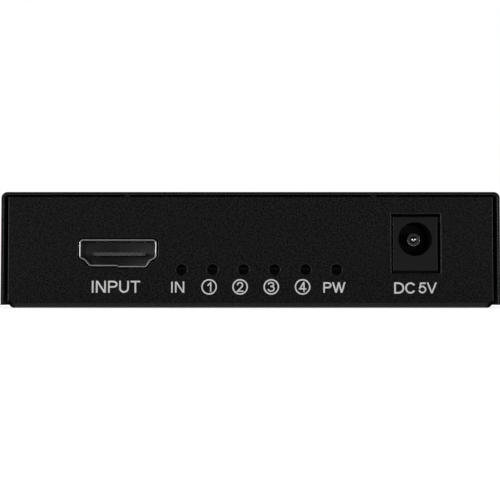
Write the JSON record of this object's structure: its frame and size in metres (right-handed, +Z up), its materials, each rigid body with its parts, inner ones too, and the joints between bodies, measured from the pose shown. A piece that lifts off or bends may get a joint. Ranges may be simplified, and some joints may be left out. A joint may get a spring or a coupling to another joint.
{
  "type": "video signal splitter",
  "caption": "Flat black sheet-metal box that repeats a video source to several screens, with lamps and a power socket on its input panel.",
  "frame": {"origin": "on the surface that the case stands on, under the middle of the case", "axes": "+Z up; -Y out of the panel with the input, the lamps and the power socket; +Y out of the panel with the outputs; +X to the right as seen from the input panel"},
  "size_m": [0.0956, 0.068, 0.0222],
  "materials": {
    "case_black": "matt black powder coat, fine grain",
    "case_screws": "black oxide, slightly glossy",
    "zinc_steel": "zinc plated, satin",
    "socket_shell": "nickel plated sheet, satin",
    "socket_plastic": "black moulded, matt",
    "contact_metal": "thinly plated, dull satin",
    "jack_plastic": "black moulded, matt",
    "jack_metal": "nickel plated, polished",
    "spring_metal": "nickel plated spring sheet",
    "board_black": "black solder mask over glass fibre, satin",
    "chip_plastic": "black moulding compound, matt",
    "tinned_lead": "tinned, satin",
    "thermal_pad": "soft grey-blue silicone, matt",
    "sink_aluminium": "black anodised, satin",
    "lamp_plastic": "dark smoked moulding",
    "lamp_window": "smoked epoxy window, unlit",
    "crystal_can": "nickel plated can, satin",
    "coil_ferrite": "dark grey ferrite, matt",
    "can_aluminium": "bare aluminium can, satin",
    "guard_plastic": "black moulding compound, matt",
    "fuse_ceramic": "cream, matt",
    "resistor_black": "black film with tinned ends",
    "capacitor_tan": "tan, matt"
  },
  "bodies": {
    "case": {"top_cover": "case_black", "bottom_tray": "case_black", "cover_screws": "case_screws", "board_posts": "zinc_steel", "board_screws": "zinc_steel", "main_board": "board_black", "power_jack_body": "jack_plastic", "power_pin": "jack_metal", "pin_terminal": "jack_metal", "spring_terminal": "spring_metal", "switch_contact": "spring_metal", "lamp_windows": "lamp_window", "splitter_chip": "chip_plastic", "splitter_chip_leads": "tinned_lead", "thermal_pad": "thermal_pad", "heat_sink": "sink_aluminium", "control_chip": "chip_plastic", "control_chip_leads": "tinned_lead", "memory_chips": "chip_plastic", "memory_leads": "tinned_lead", "crystal": "crystal_can", "voltage_regulators": "chip_plastic", "power_coil": "coil_ferrite", "filter_capacitors": "can_aluminium", "power_fuse": "fuse_ceramic", "power_diode": "guard_plastic", "surge_guards": "guard_plastic", "resistors": "resistor_black", "ceramic_capacitors": "capacitor_tan", "input_shell": "socket_shell", "input_insulator": "socket_plastic", "input_contacts": "contact_metal", "output_1_shell": "socket_shell", "output_1_insulator": "socket_plastic", "output_1_contacts": "contact_metal", "output_2_shell": "socket_shell", "output_2_insulator": "socket_plastic", "output_2_contacts": "contact_metal", "output_3_shell": "socket_shell", "output_3_insulator": "socket_plastic", "output_3_contacts": "contact_metal", "output_4_shell": "socket_shell", "output_4_insulator": "socket_plastic", "output_4_contacts": "contact_metal", "lamp_input": "lamp_plastic", "lamp_output_1": "lamp_plastic", "lamp_output_2": "lamp_plastic", "lamp_output_3": "lamp_plastic", "lamp_output_4": "lamp_plastic", "lamp_power": "lamp_plastic"},
    "jack_spring": {"power_spring": "spring_metal"}
  },
  "joints": [
    {"name": "jack_spring_flex", "type": "hinge", "parent": "case", "child": "jack_spring", "pos_m": [0.03158, -0.0214, 0.00863], "axis": [1, 0, 0], "range_deg": [0, 4.5], "stiffness_Nm_per_rad": 0.5}
  ]
}
